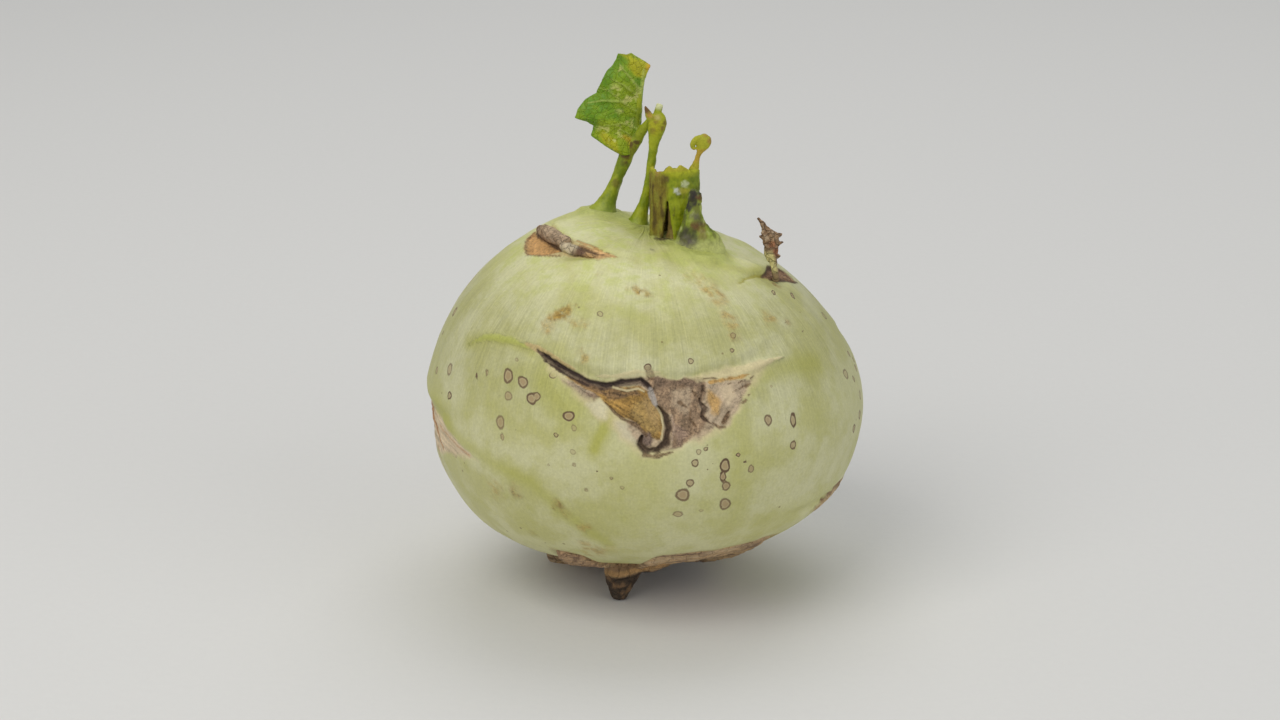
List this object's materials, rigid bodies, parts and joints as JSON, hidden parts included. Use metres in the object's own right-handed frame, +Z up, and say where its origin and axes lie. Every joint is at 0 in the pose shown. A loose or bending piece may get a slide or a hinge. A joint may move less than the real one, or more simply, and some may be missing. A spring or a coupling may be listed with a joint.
{
  "type": "kohlrabi",
  "caption": "Whole pale green kohlrabi with corky leaf scars, torn leaf stalks, a small lobed leaf and a cut taproot that it rests on.",
  "frame": {"origin": "on the surface that it rests on, under the middle of the bulb", "axes": "+Z up from the root to the leaves, -Y to the front with the large leaf scar, +X to its right"},
  "size_m": [0.0951, 0.0934, 0.1176],
  "materials": {
    "skin": "waxy pale green skin with brown corky scars",
    "root": "rough dark brown cork",
    "leaf": "green leaf with yellow blisters",
    "petiole": "smooth green stalk",
    "sheath": "torn yellow-green and brown leaf base",
    "short_petiole": "green stalk with a blackened top",
    "dried": "dry crumpled tan and brown"
  },
  "bodies": {
    "root": {"bulb": "skin", "root_base": "root", "leaf_stem_left": "leaf", "petiole_middle": "petiole", "torn_sheath": "sheath", "petiole_short": "short_petiole", "dried_petiole_right": "dried", "dried_leaf_base_left": "dried"}
  },
  "joints": []
}
